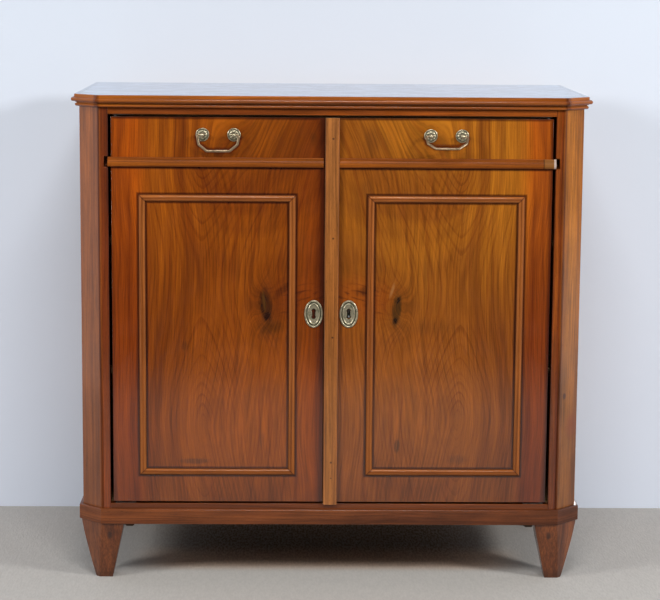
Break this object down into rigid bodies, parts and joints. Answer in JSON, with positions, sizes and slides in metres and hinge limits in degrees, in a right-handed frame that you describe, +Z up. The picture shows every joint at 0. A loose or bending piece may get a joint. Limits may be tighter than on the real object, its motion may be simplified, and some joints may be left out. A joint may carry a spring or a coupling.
{
  "type": "low cupboard",
  "caption": "Low two-door cupboard with canted front corners, moulded top edge, dummy drawer fronts, brass bail handles, oval escutcheons and tapered feet.",
  "frame": {"origin": "middle of the bounding box at the floor", "axes": "+Z up, the doors face -Y, +X to the right of someone facing them"},
  "size_m": [1.134, 0.5846, 1.077],
  "materials": {
    "door_veneer": "figured reddish brown veneer, satin polish",
    "carcase_veneer": "reddish brown, satin polish",
    "moulding": "reddish brown, satin polish",
    "strip_wood": "paler reddish brown, worn polish",
    "base_wood": "darker reddish brown, worn polish",
    "inner_wood": "unpolished old softwood",
    "glue_block_wood": "rough, dark with age",
    "brass": "aged, polished on the high places",
    "iron": "dark wrought iron"
  },
  "bodies": {
    "carcase": {"front_post_left": "carcase_veneer", "front_post_right": "carcase_veneer", "rear_stile_left": "carcase_veneer", "rear_stile_right": "carcase_veneer", "side_panel_left": "carcase_veneer", "side_panel_right": "carcase_veneer", "frieze_rail": "carcase_veneer", "bottom_rail": "base_wood", "rear_top_rail": "inner_wood", "bottom_board": "inner_wood", "top_board": "carcase_veneer", "top_edge_front": "moulding", "top_edge_left": "moulding", "top_edge_right": "moulding", "frieze_bead_front": "moulding", "frieze_bead_left": "moulding", "frieze_bead_right": "moulding", "base_board_front": "base_wood", "base_board_left": "base_wood", "base_board_right": "base_wood", "bearers": "inner_wood", "foot_front_left": "base_wood", "foot_front_right": "base_wood", "foot_rear_left": "base_wood", "foot_rear_right": "base_wood", "glue_blocks": "glue_block_wood", "back_boards": "inner_wood", "shelf_lower": "inner_wood", "shelf_upper": "inner_wood", "shelf_battens": "inner_wood", "pivot_pins": "iron", "door_stops": "inner_wood", "carcase_fixings": "iron"},
    "left_door_body": {"left_door": "inner_wood", "left_veneer": "door_veneer", "left_divider": "moulding", "left_panel_moulding": "moulding", "left_escutcheon": "brass", "left_rosettes": "brass", "left_handle_posts": "brass", "left_pivot_plates": "iron", "left_bolt_covers": "iron", "left_keeper": "brass", "left_screws": "iron"},
    "right_door_body": {"right_door": "inner_wood", "right_veneer": "door_veneer", "right_divider": "moulding", "right_panel_moulding": "moulding", "right_escutcheon": "brass", "right_rosettes": "brass", "right_handle_posts": "brass", "right_pivot_plates": "iron", "centre_strip": "strip_wood", "lock_case": "iron", "right_screws": "iron"},
    "left_bail": {"left_bail": "brass"},
    "right_bail": {"right_bail": "brass"},
    "top_bolt": {"top_bolt": "iron"},
    "bottom_bolt": {"bottom_bolt": "iron"},
    "lock_bolt": {"lock_bolt": "iron"}
  },
  "joints": [
    {"name": "left_door_swing", "type": "hinge", "parent": "carcase", "child": "left_door_body", "pos_m": [-0.468, -0.24167, 0.6], "axis": [0, 0, -1], "range_deg": [0, 105]},
    {"name": "right_door_swing", "type": "hinge", "parent": "carcase", "child": "right_door_body", "pos_m": [0.468, -0.24167, 0.6], "axis": [0, 0, 1], "range_deg": [0, 105]},
    {"name": "left_bail_swing", "type": "hinge", "parent": "left_door_body", "child": "left_bail", "pos_m": [-0.2465, -0.26567, 0.993], "axis": [-1, 0, 0], "range_deg": [-14, 120]},
    {"name": "right_bail_swing", "type": "hinge", "parent": "right_door_body", "child": "right_bail", "pos_m": [0.2465, -0.26567, 0.993], "axis": [-1, 0, 0], "range_deg": [-58, 76]},
    {"name": "top_bolt_slide", "type": "slide", "parent": "left_door_body", "child": "top_bolt", "axis": [0, 0, 1], "range_m": [0, 0.012]},
    {"name": "bottom_bolt_slide", "type": "slide", "parent": "left_door_body", "child": "bottom_bolt", "axis": [0, 0, -1], "range_m": [0, 0.012]},
    {"name": "lock_bolt_slide", "type": "slide", "parent": "right_door_body", "child": "lock_bolt", "axis": [-1, 0, 0], "range_m": [0, 0.009]}
  ]
}
